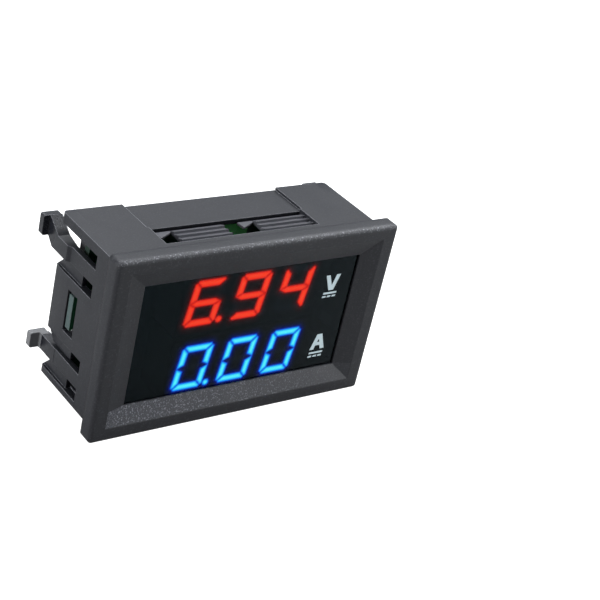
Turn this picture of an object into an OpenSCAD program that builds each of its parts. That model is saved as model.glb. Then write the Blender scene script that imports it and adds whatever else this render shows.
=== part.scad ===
// Snap-in panel meter with two rows of digits: volts above, amps below.
// X runs to the right as seen from the front, Y runs back into the panel and Z is up.
// The origin is the centre of the panel cut-out, in the plane of the bezel's seat.

/* [Bezel] */
// Width of the bezel
bezel_w = 48; // [47:0.5:56]
// Height of the bezel
bezel_h = 29; // [28:0.5:36]
// Thickness of the bezel, from its face to its seat on the panel
bezel_t = 2.5; // [2.2:0.1:4]
// Radius of the bezel's corners
bezel_corner_r = 0.6; // [0.3:0.1:2]
// Radius of the rounded front edge of the bezel
edge_r = 0.45; // [0.2:0.05:0.9]

/* [Window] */
// Width of the clear opening in the bezel
opening_w = 37.2; // [34:0.2:39]
// Height of the clear opening in the bezel
opening_h = 19.3; // [18:0.1:20.2]
// Width of the slope at the left and right of the opening
slope_side = 3.1; // [2:0.1:3.5]
// Width of the slope above and below the opening
slope_end = 2.8; // [1.5:0.1:3]
// Depth of the slope at its inner end
slope_depth = 1.0; // [0.5:0.1:1.2]
// Depth of the window's face behind the face of the bezel
pane_recess = 1.3; // [1.2:0.05:1.6]
// Thickness of the window pane
pane_t = 0.5; // [0.3:0.1:0.8]
// How far the pane reaches under the lip of the bezel
pane_lap = 0.8; // [0.4:0.1:1]
// Clearance of the pane in its rebate
pane_gap = 0.1; // [0.05:0.05:0.3]

/* [Case] */
// Width of the case behind the bezel
case_w = 45.8; // [45.4:0.2:46.6]
// Height of the case behind the bezel
case_h = 26.2; // [25.8:0.1:27]
// Depth of the case behind the panel
case_depth = 14.9; // [14.6:0.1:18]
// Thickness of the case walls
wall_t = 1.2; // [1:0.1:1.3]
// Radius of the upright corners at the rear of the case
case_corner_r = 0.6; // [0.3:0.1:1]

/* [Snap arms] */
// Height of the middle of each arm above or below the centre of the case
arm_z = 8.45; // [8:0.05:8.8]
// Width of an arm
arm_w = 2.4; // [1.8:0.1:2.6]
// Thickness of the springy front part of an arm
arm_t = 0.9; // [0.6:0.1:1.1]
// Gap on each side of an arm
arm_gap = 2.15; // [1.5:0.05:2.2]
// Distance from the panel to the root of the arms
arm_root_y = 4.5; // [3.5:0.1:6]
// Distance from the panel to the shoulder of the arms
shoulder_y = 11.6; // [11.3:0.1:12.5]
// How far the shoulders of the upper arms stand out from the case
upper_shoulder = 0.45; // [0.2:0.05:0.8]
// How far the shoulders of the lower arms stand out from the case
lower_shoulder = 0.05; // [0.05:0.05:0.6]
// How far the finger blocks reach in from the outside of the case
block_in = 1.4; // [1.1:0.1:1.8]
// Distance from the panel to the tabs of the upper arms
upper_tab_y = 17.2; // [16:0.1:18]
// Distance from the panel to the tabs of the lower arms
lower_tab_y = 16.3; // [15.2:0.1:17.5]
// How far the finger tabs stand out from the case
tab_out = 1.45; // [1:0.05:2]
// Thickness of a finger tab
tab_t = 1.1; // [0.6:0.1:1.5]
// Radius of the corners of a finger tab
tab_corner_r = 0.3; // [0.1:0.05:0.6]
// How far the upper tabs rise above their arms
upper_tab_rise = 1.9; // [0.5:0.1:2.2]
// How far the lower tabs drop below their arms
lower_tab_drop = 0.15; // [0:0.05:1]
// Length of the wedge that climbs to an upper tab
upper_wedge_l = 2.8; // [1.5:0.1:3.5]
// Length of the wedge that climbs to a lower tab
lower_wedge_l = 0.8; // [0.4:0.1:2]

/* [Side wall] */
// Height of the middle of the arms and side windows above the centre of the case
side_z = -0.25; // [-0.5:0.05:0.5]
// Depth of the rebates beside the arms
rebate_depth = 0.45; // [0.2:0.05:0.6]
// Distance from the panel to the front of the rebates
rebate_y = 7.9; // [6.5:0.1:9]
// Gap left between a rebate and the arm
rebate_gap = 0.3; // [0.2:0.05:0.6]
// Length of the slanted rear edge of the rebates
rebate_slant = 1.9; // [1:0.1:3]
// Height of the window for the board's ear
ear_window_h = 6.6; // [6:0.1:8]
// Clearance in front of the ear in its window
ear_front_gap = 1.3; // [0.5:0.1:2]
// Clearance behind the ear in its window
ear_back_gap = 0.2; // [0.1:0.05:0.5]

/* [Vent] */
// Width of the vent in the top of the case
vent_w = 26.4; // [24:0.2:28]
// Distance from the panel to the front of the vent
vent_y = 3.0; // [2.5:0.1:3.5]
// Length of the vent from front to back
vent_l = 4.9; // [4.5:0.1:5.5]
// Depth of the shallow band from the vent to the rear of the case
band_drop = 0.45; // [0.2:0.05:0.6]
// Number of ridges on each louvre
ridge_count = 4; // [3:1:5]
// Height of the ridges
ridge_h = 0.4; // [0.2:0.05:0.5]
// Width of the left louvre
louvre_left_w = 8.6; // [7:0.1:9]
// Width of the right louvre
louvre_right_w = 8.9; // [7:0.1:9.5]
// Distance from the left end of the vent to the left louvre
louvre_inset = 3.4; // [3:0.1:4]
// Gap behind the louvres
louvre_gap = 0.35; // [0.2:0.05:0.6]
// Length of the pointed tail of a louvre
tail_l = 2.6; // [1.5:0.1:2.8]

/* [Displays] */
// Gap between the window pane and the faces of the modules
module_gap = 0.1; // [0.1:0.05:0.3]
// Width of an LED module
module_w = 23.8; // [23.6:0.1:26]
// Height of an LED module
module_h = 10.2; // [9.6:0.1:10.6]
// Depth of an LED module
module_d = 6.2; // [5:0.1:7]
// Distance between the middles of the two rows
row_pitch = 10.75; // [10.65:0.05:11.2]
// Sideways offset of the modules
display_x = 0.2; // [-0.5:0.1:0.5]
// Height offset of the modules
display_z = -0.3; // [-0.5:0.1:0.3]
// Distance between neighbouring digits
digit_pitch = 7.8; // [7:0.1:7.9]
// Width of a digit between the middles of its bars
digit_w = 4.25; // [3.6:0.05:4.4]
// Height of a digit between the middles of its top and bottom bars
digit_h = 6.35; // [5.8:0.05:6.6]
// Thickness of the bars of a digit
bar_t = 1.05; // [0.7:0.05:1.1]
// Gap between two bars at a corner of a digit
bar_gap = 0.14; // [0.08:0.01:0.2]
// Length cut off each outer corner of a digit
corner_cut = 0.55; // [0.3:0.05:0.7]
// Slant of the digits in degrees
slant = 8; // [0:1:10]
// Radius of the decimal points
point_r = 0.5; // [0.3:0.02:0.5]
// Distance from the middle of a digit to its decimal point
point_x = 3.32; // [3.3:0.02:3.5]
// Depth of the wells that hold the bars
well_depth = 1.0; // [0.5:0.1:2]
// Voltage shown by the upper row, in hundredths
volts_shown = 694; // [0:1:999]
// Current shown by the lower row, in hundredths
amps_shown = 0; // [0:1:999]

/* [Circuit board] */
// Distance from the panel to the front of the board
board_y = 9.0; // [8.6:0.1:9.3]
// Thickness of the board
board_t = 1.2; // [0.8:0.1:1.3]
// Clearance between the board and the case walls
board_gap = 0.3; // [0.2:0.05:0.5]
// Height of the board's ears
ear_h = 5.4; // [4:0.1:5.8]
// Distance of the ears' tips below the outside of the case
ear_short = 0.2; // [0.1:0.05:0.6]
// Width of the ribs that stop the board
rib_t = 1.2; // [0.8:0.1:2]
// Distance of the ribs from the middle of the case
rib_x = 17; // [15:0.5:19]
// Height of the ribs
rib_h = 1.2; // [0.8:0.1:1.3]
// Radius of the modules' legs
leg_r = 0.25; // [0.2:0.05:0.35]
// Radius of the holes for the legs
leg_hole_r = 0.4; // [0.38:0.02:0.5]
// Distance between neighbouring legs
leg_pitch = 2.54; // [2.4:0.02:2.6]
// Distance between the two rows of legs of a module
leg_rows = 7.62; // [7:0.02:8]
// Length of the legs behind the board
leg_tail = 1.0; // [0.5:0.1:1.3]

/* [Headers] */
// Middle of the current header across the board
current_x = 14.6; // [14:0.1:15.5]
// Height of the middle of the current header
current_z = -5.6; // [-6:0.1:-5]
// Width of the current header
current_w = 7.9; // [7:0.1:8.5]
// Height of the current header across its latch
current_h = 7.6; // [7:0.1:8]
// Thickness of the current header's base
current_base_t = 3.2; // [2.5:0.1:4]
// Reach of the current header's latch wall
current_latch = 9.4; // [8:0.1:11]
// Thickness of the current header's latch wall
latch_t = 1.3; // [1:0.1:1.6]
// Distance between the current header's pins
current_pitch = 3.96; // [3.5:0.02:4.2]
// Width of the current header's square pins
current_pin = 1.14; // [0.9:0.02:1.2]
// Radius of the board's holes for the current header's pins
current_hole_r = 0.95; // [0.9:0.05:1.1]
// Middle of the supply header across the board
supply_x = 14.8; // [14.4:0.1:15.5]
// Height of the middle of the supply header
supply_z = 5.4; // [5:0.1:6]
// Width of the supply header
supply_w = 9.8; // [9.2:0.1:10.4]
// Height of the supply header
supply_h = 5.75; // [5:0.05:6.2]
// Reach of the supply header behind the board
supply_d = 7.0; // [6:0.1:8]
// Wall thickness of the supply header
supply_wall = 0.75; // [0.5:0.05:0.9]
// Distance between the supply header's pins
supply_pitch = 2.5; // [2.3:0.02:2.6]
// Width of the supply header's square pins
supply_pin = 0.64; // [0.5:0.02:0.7]
// Radius of the board's holes for the supply header's pins
supply_hole_r = 0.55; // [0.52:0.01:0.7]
// Length of the headers' pins in front of the board
pin_tail = 1.2; // [0.8:0.1:1.8]

/* [Trimmers] */
// Middle of the trimmers across the board
trimmer_x = -10.9; // [-11.2:0.1:-10.5]
// Height of the volt trimmer
volt_trimmer_z = 5.2; // [4.8:0.1:5.6]
// Height of the amp trimmer
amp_trimmer_z = -6.0; // [-6.4:0.1:-5.6]
// Width of a trimmer's base
trimmer_w = 3.2; // [3:0.1:3.4]
// Length of a trimmer's base
trimmer_l = 3.8; // [3.4:0.1:4.2]
// Thickness of a trimmer's base
trimmer_t = 1.1; // [0.9:0.1:1.4]
// Radius of a trimmer's turning disc
rotor_r = 1.25; // [1:0.05:1.4]
// Thickness of a trimmer's turning disc
rotor_t = 0.6; // [0.4:0.1:0.8]
// Radius of the disc's spindle
spindle_r = 0.55; // [0.4:0.05:0.7]
// Thickness of the floor under the spindle
trimmer_floor = 0.3; // [0.2:0.05:0.5]
// Running clearance round the spindle
spindle_gap = 0.05; // [0.02:0.01:0.1]
// Gap between a trimmer's base and its disc
rotor_gap = 0.12; // [0.05:0.01:0.2]
// Width of the screwdriver slot
slot_w = 0.35; // [0.25:0.05:0.5]

/* [Components] */
// Width of the microcontroller's body
mcu_w = 4.4; // [4:0.1:4.6]
// Length of the microcontroller's body
mcu_l = 6.5; // [6.4:0.1:6.8]
// Thickness of the microcontroller's body
mcu_t = 1.0; // [0.8:0.1:1.2]
// Distance between the microcontroller's leads
mcu_pitch = 0.65; // [0.6:0.01:0.65]
// Width of the amplifier's body
amplifier_w = 3.9; // [3.6:0.1:4]
// Length of the amplifier's body
amplifier_l = 4.9; // [4.7:0.1:5.1]
// Thickness of the amplifier's body
amplifier_t = 1.4; // [1.2:0.1:1.6]
// Distance between the amplifier's leads
amplifier_pitch = 1.27; // [1.2:0.01:1.3]
// Reach of the leads beside a chip
lead_reach = 1.0; // [0.8:0.05:1.1]
// Thickness of the leads' metal
lead_t = 0.18; // [0.12:0.02:0.25]
// Width of the regulator's body
regulator_w = 4.5; // [4.2:0.1:4.8]
// Height of the regulator's body
regulator_h = 2.5; // [2.3:0.1:2.7]
// Thickness of the regulator's body
regulator_t = 1.5; // [1.2:0.1:1.7]
// Width of the diode's body
diode_w = 4.3; // [4:0.1:4.5]
// Height of the diode's body
diode_h = 2.6; // [2.4:0.1:2.8]
// Thickness of the diode's body
diode_t = 2.0; // [1.8:0.1:2.3]
// Distance of the diode from the edges of the board
diode_inset = 0.9; // [0.7:0.1:1]
// Distance of the input capacitor from the edges of the board
can_inset = 1.0; // [0.8:0.1:1.2]
// Diameter of the shunt wire
shunt_wire = 1.3; // [1:0.1:1.5]
// Distance between the shunt's legs
shunt_span = 9.0; // [8:0.1:9.5]
// Reach of the shunt behind the board
shunt_reach = 3.4; // [2.8:0.1:4]
// Middle of the shunt across the board
shunt_x = 1.6; // [1:0.1:2]
// Clearance round the shunt's legs in the board
shunt_gap = 0.1; // [0.05:0.05:0.2]
// Diameter of the input capacitor
can_d = 4.0; // [3.5:0.1:4.2]
// Height of the input capacitor above its base
can_h = 3.6; // [3:0.1:4]
// Thickness of the input capacitor's base
can_base_t = 0.8; // [0.6:0.1:1]
// Width of the input capacitor's base
can_base_w = 4.3; // [4.2:0.1:4.4]

/* [Hidden] */
$fn = 48;

// A hair of overlap that keeps cuts clean
nip = 0.01;

// Planes that the pieces share, from front to back
face_y = -bezel_t;
pane_y = face_y + pane_recess;
module_y = pane_y + pane_t + module_gap;
module_back = module_y + module_d;
board_back = board_y + board_t;

// Inside of the case
inner_w = case_w - 2 * wall_t;
inner_h = case_h - 2 * wall_t;

// Size of the pane and of the plain part of the board
pane_w = opening_w + 2 * pane_lap;
pane_h = opening_h + 2 * pane_lap;
board_w = inner_w - 2 * board_gap;
board_h = inner_h - 2 * board_gap;
ear_reach = case_w / 2 - ear_short;

// Heights of the two rows
volt_z = display_z + row_pitch / 2;
amp_z = display_z - row_pitch / 2;

// Edges of the arms and of the gaps beside them, measured up from the middle of the side wall
arm_low = arm_z - arm_w / 2;
arm_high = arm_z + arm_w / 2;
gap_low = arm_low - arm_gap;
gap_high = arm_high + arm_gap;

// Louvres: left ends, length and levels
louvre_left_x = -vent_w / 2 + louvre_inset;
louvre_right_x = vent_w / 2 - louvre_right_w;
louvre_l = vent_l - louvre_gap;
louvre_floor = inner_h / 2;
louvre_base = case_h / 2 - band_drop - ridge_h;

// Which bars each figure lights, in the order top, upper right, lower right, bottom,
// lower left, upper left, middle
FIGURES = [
    [1, 1, 1, 1, 1, 1, 0],
    [0, 1, 1, 0, 0, 0, 0],
    [1, 1, 0, 1, 1, 0, 1],
    [1, 1, 1, 1, 0, 0, 1],
    [0, 1, 1, 0, 0, 1, 1],
    [1, 0, 1, 1, 0, 1, 1],
    [1, 0, 1, 1, 1, 1, 1],
    [1, 1, 1, 0, 0, 0, 0],
    [1, 1, 1, 1, 1, 1, 1],
    [1, 1, 1, 1, 0, 1, 1]
];
// The decimal point follows the first digit
POINTS = [1, 0, 0];

// ---------------------------------------------------------------- helpers

// Extrudes a drawing in X and Z back from the plane y
module back_from(y, depth) {
    translate([0, y + depth, 0]) rotate([90, 0, 0]) linear_extrude(height = depth) children();
}

// Extrudes a drawing in Y and Z to the right from the plane x
module right_from(x, width) {
    translate([x, 0, 0]) rotate([90, 0, 90]) linear_extrude(height = width) children();
}

// Puts a piece on the back of the board: its own Z points away from the board
module on_board(x, z) {
    translate([x, board_back, z]) rotate([-90, 0, 0]) children();
}

// Box centred on X and Z that starts at the plane y
module plate(y, w, depth, h) {
    translate([-w / 2, y, -h / 2]) cube([w, depth, h]);
}

// Rectangle with round corners
module round_rect(w, h, r) {
    square([w - 2 * r, h], center = true);
    square([w, h - 2 * r], center = true);
    for (sx = [-1, 1], sz = [-1, 1]) translate([sx * (w / 2 - r), sz * (h / 2 - r)]) circle(r = r);
}

// Draws its children and their mirror image on the other side of the case
module both_sides() {
    children();
    mirror([1, 0, 0]) children();
}

// ---------------------------------------------------------------- housing

// Bezel plate: square at the seat, drafted towards the face
module bezel_plate() {
    back_from(face_y + edge_r, bezel_t - edge_r) round_rect(bezel_w, bezel_h, bezel_corner_r);
    hull() for (angle = [0 : 18 : 90]) {
        inset = edge_r * (1 - sin(angle));
        back_from(face_y + edge_r * (1 - cos(angle)), nip)
            round_rect(bezel_w - 2 * inset, bezel_h - 2 * inset, max(bezel_corner_r - inset, 0.1), $fn = 32);
    }
}

// Case with rounded upright corners at the rear; its front end is inside the bezel
module case_block() {
    length = case_depth + bezel_t / 2;
    translate([0, case_depth - length / 2, -case_h / 2])
        linear_extrude(height = case_h) round_rect(case_w, length, case_corner_r);
}

// Funnel-shaped cut from the face of the bezel down to the window
module window_slope() {
    hull() {
        plate(face_y - nip, opening_w + 2 * slope_side, nip, opening_h + 2 * slope_end);
        plate(face_y + slope_depth, opening_w, nip, opening_h);
    }
}

// Outline of an arm in X and Y: a thin spring, a shoulder and a block that thickens to the rear
module arm_outline(shoulder, block_end_y) {
    side = case_w / 2;
    polygon([
        [side - arm_t, arm_root_y - nip],
        [side, arm_root_y - nip],
        [side, shoulder_y - shoulder],
        [side + shoulder, shoulder_y],
        [side + shoulder, block_end_y],
        [side - block_in, block_end_y],
        [side - arm_t, shoulder_y - shoulder]
    ]);
}

// One arm above the middle of the side wall. A wedge climbs by rise from the end of its block to
// a finger tab, a plate with round corners that stands out from the case
module snap_arm(shoulder, tab_y, rise, wedge_l) {
    inner = case_w / 2 - block_in;
    tab_low = arm_low + rise * 0.6;
    tab_w = block_in + tab_out;
    translate([0, 0, arm_low])
        linear_extrude(height = arm_w) arm_outline(shoulder, tab_y - wedge_l);
    right_from(inner, block_in + shoulder) polygon([
        [tab_y - wedge_l - nip, arm_low],
        [tab_y - wedge_l / 2, arm_low],
        [tab_y + nip, tab_low],
        [tab_y + nip, arm_high + rise],
        [tab_y, arm_high + rise],
        [tab_y - wedge_l - nip, arm_high]
    ]);
    back_from(tab_y, tab_t)
        translate([inner + tab_w / 2, (tab_low + arm_high + rise) / 2])
            round_rect(tab_w, arm_high + rise - tab_low, tab_corner_r);
}

// Cuts through a side wall: a slot round each arm, open at the rear, and the window for the ear
module side_openings() {
    for (flip = [0, 1]) mirror([0, 0, flip])
        translate([inner_w / 2 - nip, arm_root_y, gap_low])
            cube([bezel_w, case_depth, gap_high - gap_low]);
    translate([inner_w / 2 - nip, board_y - ear_front_gap, -ear_window_h / 2])
        cube([bezel_w, ear_front_gap + board_t + ear_back_gap, ear_window_h]);
}

// Thin skin beside an arm, from height low to height high, slanted at its rear edge
module rebate_skin(root, tip) {
    side = case_w / 2 - rebate_depth;
    right_from(inner_w / 2, side - inner_w / 2) polygon([
        [rebate_y, root],
        [case_depth, root],
        [case_depth - rebate_slant, tip],
        [rebate_y, tip]
    ]);
}

// Louvre with a saw-toothed top: each ridge climbs gently to the front and drops steeply
module louvre(x, w) {
    pitch = louvre_l / ridge_count;
    rear = vent_y + louvre_l;
    right_from(x, w) polygon(concat(
        [[vent_y - nip, louvre_floor], [rear, louvre_floor]],
        [for (i = [0 : ridge_count - 1], k = [0, 1])
            [rear - (i + k * 0.85) * pitch, louvre_base + k * ridge_h]],
        [[vent_y - nip, louvre_base]]
    ));
    translate([x, 0, louvre_floor]) linear_extrude(height = louvre_base - louvre_floor) polygon([
        [nip, rear],
        [-tail_l, rear],
        [-tail_l * 0.9, rear - louvre_l * 0.35],
        [nip, rear - louvre_l * 0.08]
    ]);
}

module housing() color("#3c3d42") {
    difference() {
        union() {
            bezel_plate();
            case_block();
        }
        window_slope();
        plate(face_y, opening_w, bezel_t, opening_h);
        plate(pane_y, pane_w + 2 * pane_gap, bezel_t, pane_h + 2 * pane_gap);
        plate(module_y, inner_w, case_depth + bezel_t, inner_h);
        translate([0, 0, side_z]) both_sides() side_openings();
        translate([-vent_w / 2, vent_y, louvre_floor - nip]) cube([vent_w, vent_l, bezel_h]);
        translate([-vent_w / 2 - wall_t / 4, vent_y + vent_l - nip, case_h / 2 - band_drop])
            cube([vent_w + wall_t / 2, case_depth, bezel_h]);
    }
    translate([0, 0, side_z]) both_sides() {
        snap_arm(upper_shoulder, upper_tab_y, upper_tab_rise, upper_wedge_l);
        mirror([0, 0, 1]) snap_arm(lower_shoulder, lower_tab_y, lower_tab_drop, lower_wedge_l);
        rebate_skin(gap_low - nip, arm_low - rebate_gap);
        mirror([0, 0, 1]) rebate_skin(gap_low - nip, arm_low - rebate_gap);
        mirror([0, 0, 1]) rebate_skin(gap_high + nip, arm_high + rebate_gap);
    }
    both_sides() {
        for (flip = [0, 1]) mirror([0, 0, flip])
            translate([rib_x - rib_t / 2, module_y - nip, inner_h / 2 - rib_h])
                cube([rib_t, board_y - module_y + nip, rib_h + nip]);
    }
    louvre(louvre_left_x, louvre_left_w);
    louvre(louvre_right_x, louvre_right_w + nip);
}

// ---------------------------------------------------------------- window pane

module display_window() color("#0e161c", 0.6) plate(pane_y, pane_w, pane_t, pane_h);

// ---------------------------------------------------------------- displays

// Outline of a bar of the seven, before the slant: the four sides of the frame are mitred and
// chamfered at the corners and cut to a point at the middle, and the middle bar has six sides
function bar_outline(index) =
    let (x = digit_w / 2, z = digit_h / 2, c = bar_t / 2, e = bar_gap * 0.7, k = corner_cut)
    index == 6 ? [
        [-x - c + 2 * e, 0], [-x + c + e / 2, c - e / 2], [x - c - e / 2, c - e / 2],
        [x + c - 2 * e, 0], [x - c - e / 2, -c + e / 2], [-x + c + e / 2, -c + e / 2]
    ]
    : index % 3 == 0 ? let (s = index == 0 ? 1 : -1) [
        [-x - c + k, s * (z + c)], [x + c - k, s * (z + c)],
        [x + c - k / 2 - e, s * (z + c - k / 2)], [x - c - e, s * (z - c)],
        [-x + c + e, s * (z - c)], [-x - c + k / 2 + e, s * (z + c - k / 2)]
    ]
    : let (sx = index < 3 ? 1 : -1, sz = index == 1 || index == 5 ? 1 : -1) [
        [sx * (x + c - k / 2), sz * (z + c - k / 2 - e)], [sx * (x + c), sz * (z + c - k)],
        [sx * (x + c), sz * e / 2], [sx * (x - c), sz * (c + e / 2)], [sx * (x - c), sz * (z - c - e)]
    ];

// Leans points to the right in proportion to their height
function leaned(points) = [for (p = points) [p[0] + p[1] * tan(slant), p[1]]];

module bar(index) {
    polygon(leaned(bar_outline(index)));
}

module point(r) {
    translate([point_x - digit_h / 2 * tan(slant), -digit_h / 2]) circle(r = r);
}

// Value of the digit at a place of a three-digit reading, from the left
function figure_at(reading, place) = floor(reading / pow(10, 2 - place)) % 10;

// Bars and points of a row whose state equals lit
module row_drawing(reading, lit, slack = 0) {
    for (place = [0 : 2]) translate([(place - 1) * digit_pitch, 0]) {
        for (i = [0 : 6]) if (FIGURES[figure_at(reading, place)][i] == lit) bar(i);
        if (POINTS[place] == lit) point(point_r + slack);
    }
}

module display_segments(z, reading, lit) {
    translate([display_x, 0, z]) back_from(module_y, well_depth) row_drawing(reading, lit);
}

module display_shell(z) {
    difference() {
        translate([display_x, 0, z]) plate(module_y, module_w, module_d, module_h);
        translate([display_x, 0, z]) back_from(module_y - nip, well_depth + nip) {
            row_drawing(888, 1, 0.02);
            for (place = [1, 2]) translate([(place - 1) * digit_pitch, 0]) point(point_r + 0.02);
        }
    }
}

// Places of a module's legs: two rows of six
module leg_places(z) {
    for (i = [-2.5 : 2.5], s = [-1, 1])
        translate([display_x + i * leg_pitch, 0, z + s * leg_rows / 2]) rotate([-90, 0, 0]) children();
}

module display_pins(z) {
    leg_places(z) translate([0, 0, module_back])
        cylinder(r = leg_r, h = board_back + leg_tail - module_back, $fn = 24);
}

module volt_display_shell() color("#1c1d20") display_shell(volt_z);
module volt_segments_lit() color("#f0301c") display_segments(volt_z, volts_shown, 1);
module volt_segments_dark() color("#2a2a2e") display_segments(volt_z, volts_shown, 0);
module volt_display_pins() color("#c9c9c4") display_pins(volt_z);
module amp_display_shell() color("#1c1d20") display_shell(amp_z);
module amp_segments_lit() color("#3cb4ff") display_segments(amp_z, amps_shown, 1);
module amp_segments_dark() color("#2a2a2e") display_segments(amp_z, amps_shown, 0);
module amp_display_pins() color("#c9c9c4") display_pins(amp_z);

// ---------------------------------------------------------------- circuit board

module hole(x, z, r) {
    translate([x, board_y - nip, z]) rotate([-90, 0, 0]) cylinder(r = r, h = board_t + 2 * nip, $fn = 24);
}

module circuit_board() color("#1f6b3a") difference() {
    union() {
        plate(board_y, board_w, board_t, board_h);
        translate([0, 0, side_z]) plate(board_y, 2 * ear_reach, board_t, ear_h);
    }
    for (z = [volt_z, amp_z]) leg_places(z) translate([0, 0, board_y - nip])
        cylinder(r = leg_hole_r, h = board_t + 2 * nip, $fn = 24);
    for (i = [-0.5, 0.5]) hole(current_x + i * current_pitch, current_z, current_hole_r);
    for (i = [-1, 0, 1]) hole(supply_x + i * supply_pitch, supply_z, supply_hole_r);
    for (i = [-0.5, 0.5]) hole(shunt_x + i * shunt_span, amp_z, shunt_wire / 2 + shunt_gap);
}

// ---------------------------------------------------------------- headers

// Two-way header: solid base, a tall latch wall above the pins and two low cheeks
module current_header() color("#e9e6dc") on_board(current_x, current_z) {
    pin_hole = current_pin + 0.04;
    difference() {
        translate([-current_w / 2, -current_h / 2, 0]) cube([current_w, current_h, current_base_t]);
        for (i = [-0.5, 0.5]) translate([i * current_pitch, 0, current_base_t / 2])
            cube([pin_hole, pin_hole, current_base_t + 1], center = true);
    }
    difference() {
        translate([-current_w / 2, -current_h / 2, 0]) cube([current_w, latch_t, current_latch]);
        translate([0, -current_h / 2, current_latch - 2.6])
            cube([current_w * 0.45, 3 * latch_t, 1.8], center = true);
    }
    for (s = [-1, 1]) translate([s * (current_w / 2 - 0.5) - 0.5, -current_h / 2, 0])
        cube([1, current_h * 0.55, current_base_t + 1.6]);
}

module header_pins(x, z, count, pitch, width, reach) {
    for (i = [0 : count - 1])
        translate([x + (i - (count - 1) / 2) * pitch, (board_y - pin_tail + board_back + reach) / 2, z])
            cube([width, reach + board_t + pin_tail, width], center = true);
}

module current_header_pins() color("#c9c9c4")
    header_pins(current_x, current_z, 2, current_pitch, current_pin, current_latch - 0.6);

// Three-way header: an open box with two key slots in its upper wall
module supply_header() color("#efede4") on_board(supply_x, supply_z) difference() {
    translate([-supply_w / 2, -supply_h / 2, 0]) cube([supply_w, supply_h, supply_d]);
    translate([-supply_w / 2 + supply_wall, -supply_h / 2 + supply_wall, 1.4])
        cube([supply_w - 2 * supply_wall, supply_h - 2 * supply_wall, supply_d]);
    for (s = [-1, 1]) translate([s * supply_w * 0.27 - 0.6, -supply_h / 2 - nip, 3.2])
        cube([1.2, supply_wall + 2 * nip, supply_d]);
    for (i = [-1, 0, 1]) translate([i * supply_pitch, 0, 0.7])
        cube([supply_pin + 0.04, supply_pin + 0.04, 3], center = true);
}

module supply_header_pins() color("#c9c9c4")
    header_pins(supply_x, supply_z, 3, supply_pitch, supply_pin, supply_d - 0.8);

// ---------------------------------------------------------------- shunt

// Staple of thick round wire: two legs through the board, two bends and a straight bridge
module current_shunt() color("#b07a55") {
    r = shunt_wire / 2;
    bend = shunt_wire;
    bend_y = board_back + shunt_reach - r - bend;
    translate([shunt_x, 0, amp_z]) {
        for (s = [-1, 1]) {
            translate([s * shunt_span / 2, board_y - pin_tail, 0]) rotate([-90, 0, 0])
                cylinder(r = r, h = bend_y - board_y + pin_tail);
            translate([s * (shunt_span / 2 - bend), bend_y, 0]) rotate([0, 0, 45 - 45 * s])
                rotate_extrude(angle = 90) translate([bend, 0]) circle(r = r);
        }
        translate([-shunt_span / 2 + bend, board_back + shunt_reach - r, 0]) rotate([0, 90, 0])
            cylinder(r = r, h = shunt_span - 2 * bend);
    }
}

// ---------------------------------------------------------------- trimmers

module trimmer_base(z) {
    on_board(trimmer_x, z) difference() {
        translate([-trimmer_w / 2, -trimmer_l / 2, 0]) cube([trimmer_w, trimmer_l, trimmer_t]);
        translate([0, 0, trimmer_floor]) cylinder(r = spindle_r + spindle_gap, h = trimmer_t);
    }
}

// Turning disc with a cross slot and a spindle that runs in the base
module trimmer_rotor(z) {
    on_board(trimmer_x, z) difference() {
        union() {
            translate([0, 0, trimmer_t + rotor_gap]) cylinder(r = rotor_r, h = rotor_t);
            translate([0, 0, trimmer_floor + rotor_gap])
                cylinder(r = spindle_r, h = trimmer_t + nip - trimmer_floor);
        }
        for (turn = [0, 90]) rotate([0, 0, turn])
            translate([0, 0, trimmer_t + rotor_gap + rotor_t])
                cube([2 * rotor_r * 0.8, slot_w, rotor_t], center = true);
    }
}

module volt_trimmer_base() color("#2f6fb0") trimmer_base(volt_trimmer_z);
module volt_trimmer_rotor() color("#d6d2c6") trimmer_rotor(volt_trimmer_z);
module amp_trimmer_base() color("#2f6fb0") trimmer_base(amp_trimmer_z);
module amp_trimmer_rotor() color("#d6d2c6") trimmer_rotor(amp_trimmer_z);

// ---------------------------------------------------------------- chips

// Moulded chip body that stands a little off the board
module chip(w, l, t, stand) {
    translate([-w / 2, -l / 2, stand]) cube([w, l, t]);
}

// Bent leads on both sides of a chip of width w: foot on the board, shank into the body
module gull_leads(count, pitch, w, lead_w, knee) {
    for (side = [0, 1], i = [0 : count - 1]) mirror([side, 0, 0])
        translate([w / 2, (i - (count - 1) / 2) * pitch + lead_w / 2, 0]) rotate([90, 0, 0])
            linear_extrude(height = lead_w) polygon([
                [0, knee], [0, knee + lead_t], [lead_reach * 0.45, knee + lead_t],
                [lead_reach * 0.6, lead_t], [lead_reach, lead_t], [lead_reach, 0],
                [lead_reach * 0.42, 0], [lead_reach * 0.3, knee]
            ]);
}

// The microcontroller stands between the two trimmers and the edge of the board
mcu_x = -16.0;
mcu_z = -0.6;
module microcontroller() color("#202124") on_board(mcu_x, mcu_z) chip(mcu_w, mcu_l, mcu_t, lead_t / 2);
module microcontroller_leads() color("#c9c9c4")
    on_board(mcu_x, mcu_z) gull_leads(10, mcu_pitch, mcu_w, mcu_pitch * 0.4, mcu_t / 2);

// The amplifier stands across, between the legs of the upper module
module amplifier() color("#202124")
    on_board(display_x, volt_z) rotate(90) chip(amplifier_w, amplifier_l, amplifier_t, lead_t / 2);
module amplifier_leads() color("#c9c9c4") on_board(display_x, volt_z) rotate(90)
    gull_leads(4, amplifier_pitch, amplifier_w, amplifier_pitch / 3, amplifier_t / 2);

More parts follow.
